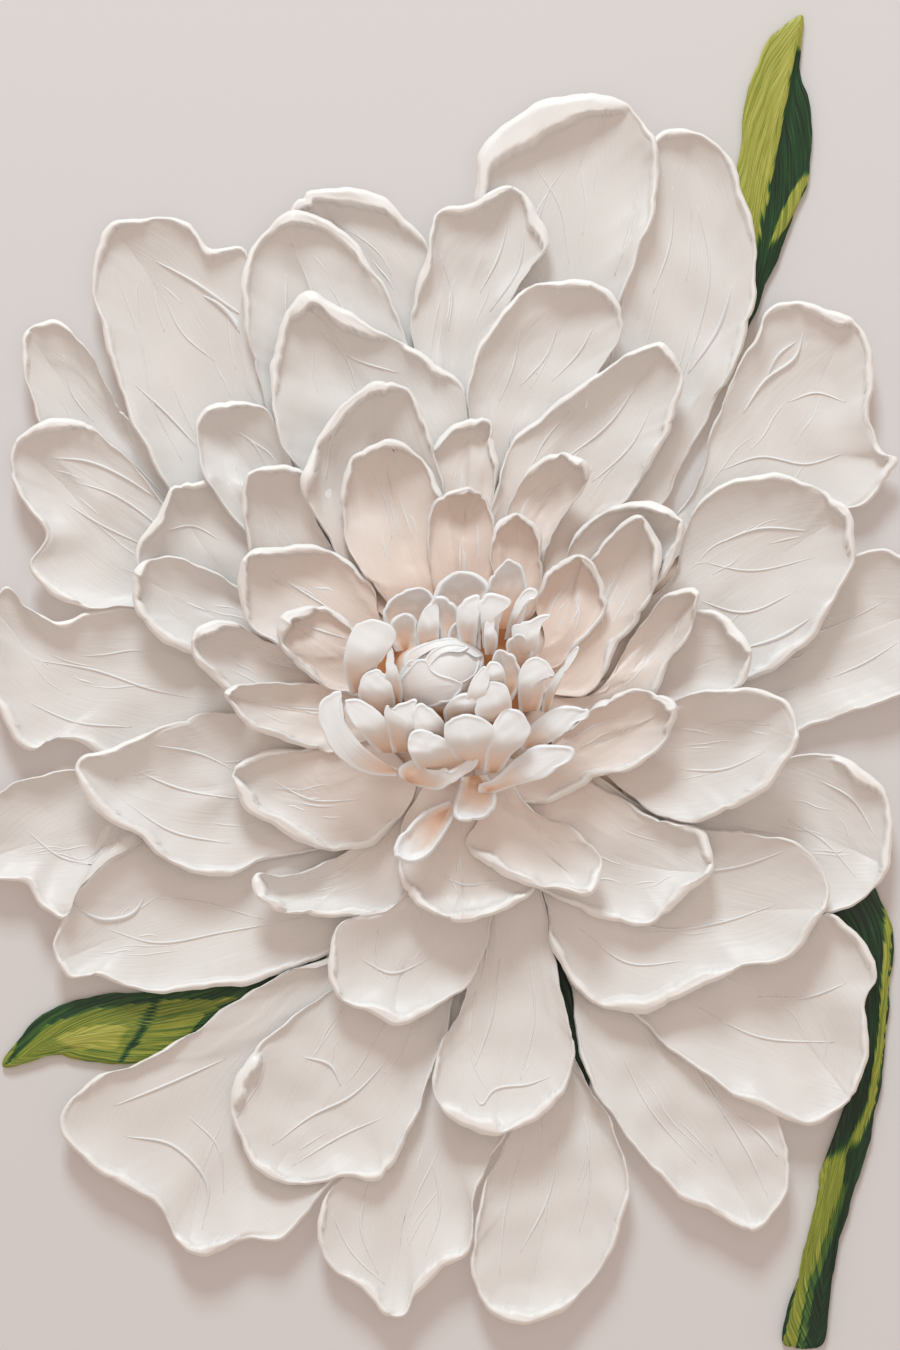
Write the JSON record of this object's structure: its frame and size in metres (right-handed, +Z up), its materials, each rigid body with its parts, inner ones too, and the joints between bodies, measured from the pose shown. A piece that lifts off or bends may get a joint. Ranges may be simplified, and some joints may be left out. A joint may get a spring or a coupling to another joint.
{
  "type": "giant relief flower",
  "caption": "Large wall-mounted relief flower: dished white petals stacked in rings on a round core, with a curled crown, green leaves, a sepal and a stem.",
  "frame": {"origin": "centre of the backing disc's back face, on the wall plane", "axes": "+Z up along the wall, +X to the right seen from the front, +Y into the wall, so the flower faces -Y"},
  "size_m": [0.6421, 0.085, 0.8965],
  "materials": {
    "petal_paste": "satin",
    "inner_paste": "satin",
    "crown_paste": "satin",
    "core_paste": "matte",
    "leaf_paint": "semi-gloss",
    "sepal_paint": "semi-gloss",
    "stem_paint": "semi-gloss"
  },
  "bodies": {
    "root": {"backing_core": "core_paste", "crown": "crown_paste", "upper_leaf": "leaf_paint", "left_leaf": "leaf_paint", "lower_sepal": "sepal_paint", "stem": "stem_paint", "outer_petal_01": "petal_paste", "outer_petal_02": "petal_paste", "outer_petal_03": "petal_paste", "outer_petal_04": "petal_paste", "outer_petal_05": "petal_paste", "outer_petal_06": "petal_paste", "outer_petal_07": "petal_paste", "outer_petal_08": "petal_paste", "outer_petal_09": "petal_paste", "outer_petal_10": "petal_paste", "outer_petal_11": "petal_paste", "outer_petal_12": "petal_paste", "outer_petal_13": "petal_paste", "outer_petal_14": "petal_paste", "outer_petal_15": "petal_paste", "outer_petal_16": "petal_paste", "outer_petal_17": "petal_paste", "outer_petal_18": "petal_paste", "outer_petal_19": "petal_paste", "outer_petal_20": "petal_paste", "middle_petal_01": "petal_paste", "middle_petal_02": "petal_paste", "middle_petal_03": "petal_paste", "middle_petal_04": "petal_paste", "middle_petal_05": "petal_paste", "middle_petal_06": "petal_paste", "middle_petal_07": "petal_paste", "middle_petal_08": "petal_paste", "middle_petal_09": "petal_paste", "middle_petal_10": "petal_paste", "middle_petal_11": "petal_paste", "middle_petal_12": "petal_paste", "middle_petal_13": "petal_paste", "middle_petal_14": "petal_paste", "middle_petal_15": "petal_paste", "inner_petal_01": "inner_paste", "inner_petal_02": "inner_paste", "inner_petal_03": "inner_paste", "inner_petal_04": "inner_paste", "inner_petal_05": "inner_paste", "inner_petal_06": "inner_paste", "inner_petal_07": "inner_paste", "inner_petal_08": "inner_paste", "inner_petal_09": "inner_paste", "inner_petal_10": "inner_paste", "inner_petal_11": "inner_paste", "inner_petal_12": "inner_paste", "inner_petal_13": "inner_paste", "inner_petal_14": "inner_paste", "inner_petal_15": "inner_paste", "inner_petal_16": "inner_paste", "inner_petal_17": "inner_paste", "inner_petal_18": "inner_paste", "inner_petal_19": "inner_paste"}
  },
  "joints": []
}
